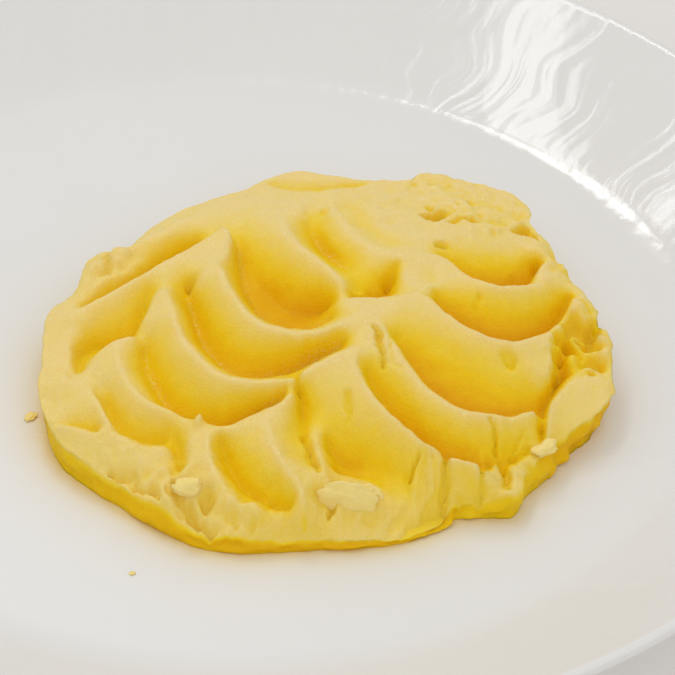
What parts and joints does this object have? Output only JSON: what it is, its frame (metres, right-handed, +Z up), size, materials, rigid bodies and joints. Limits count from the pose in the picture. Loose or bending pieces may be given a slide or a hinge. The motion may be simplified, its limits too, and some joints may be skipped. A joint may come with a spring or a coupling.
{
  "type": "plate of mashed potato",
  "caption": "Side of smooth mashed potato, spread in a low oval mound with overlapping spoon swirls and torn edges, on a round white rimmed plate.",
  "frame": {"origin": "on the plate's axis, at the bottom of its foot ring", "axes": "+Z up out of the plate, -Y towards the eater, +X to the eater's right; the mash lies to the right of the plate's centre"},
  "size_m": [0.248, 0.248, 0.0283],
  "materials": {
    "plate_glaze": "white glossy glaze over porcelain",
    "mashed_potato": "moist, fine grained, soft yellow mash"
  },
  "bodies": {
    "root": {"plate": "plate_glaze", "mash": "mashed_potato"}
  },
  "joints": []
}
